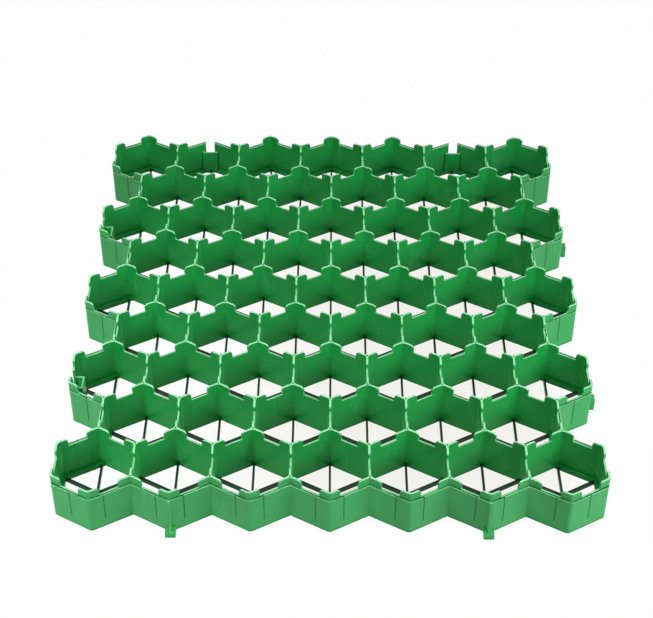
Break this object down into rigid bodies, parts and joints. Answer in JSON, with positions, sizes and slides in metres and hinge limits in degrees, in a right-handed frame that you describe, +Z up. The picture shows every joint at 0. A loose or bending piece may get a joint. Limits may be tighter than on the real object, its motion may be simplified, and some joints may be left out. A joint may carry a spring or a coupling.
{
  "type": "grass paver grid",
  "caption": "Honeycomb panel of open hexagonal cells with notched wall tops and floor spokes, with pegs and sockets that join like panels; holds turf or gravel on soft ground.",
  "frame": {"origin": "middle of the middle cell, at floor level on the underside", "axes": "+Z up, +X along the rows towards the side that has pegs, +Y towards the edge that has sockets"},
  "size_m": [0.4283, 0.4963, 0.0395],
  "materials": {
    "green_plastic": "satin moulded green polyethylene"
  },
  "bodies": {
    "root": {"paver_grid": "green_plastic"}
  },
  "joints": []
}
